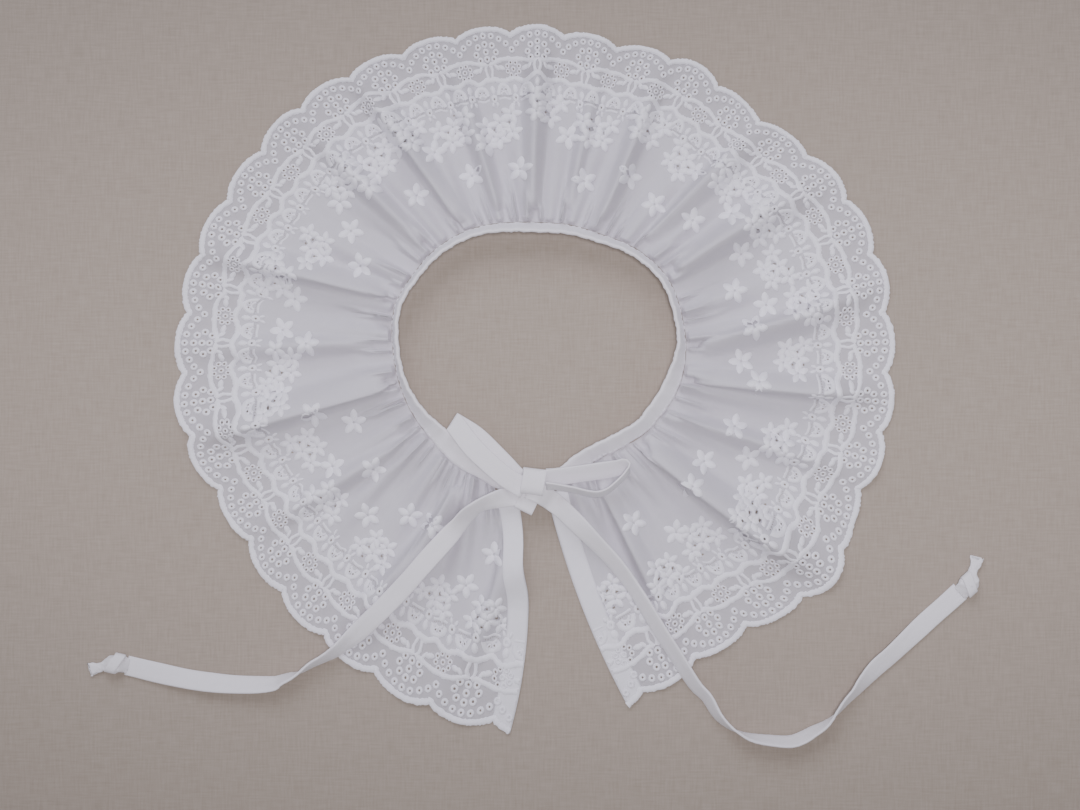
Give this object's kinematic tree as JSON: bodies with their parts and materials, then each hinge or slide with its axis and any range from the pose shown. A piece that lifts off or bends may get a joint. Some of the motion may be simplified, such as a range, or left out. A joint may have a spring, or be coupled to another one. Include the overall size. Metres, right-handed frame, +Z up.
{
  "type": "detachable collar",
  "caption": "Detachable white cotton collar: a gathered, scalloped broderie frill on a narrow neck band, tied at the front in a flat bow with loose knotted ties",
  "frame": {"origin": "centre of the bounding box of the collar without its loose ties, at the surface that it lies on", "axes": "+Z up from the surface, +X to the right seen from above, +Y to the back of the neck; the bow and the front opening are at -Y"},
  "size_m": [0.4458, 0.3601, 0.0215],
  "materials": {
    "batiste": "sheer white cotton batiste with white satin-stitch embroidery and pierced eyelets",
    "hem": "the same batiste folded double, opaque",
    "tape": "folded plain-weave white cotton, matt"
  },
  "bodies": {
    "root": {"lace_frill": "batiste", "front_hem_left": "hem", "front_hem_right": "hem", "neck_band": "tape", "bow_loop_left": "tape", "bow_loop_right": "tape", "bow_knot": "tape", "tie_left": "tape", "tie_right": "tape", "end_knot_left": "tape", "end_knot_right": "tape"}
  },
  "joints": []
}
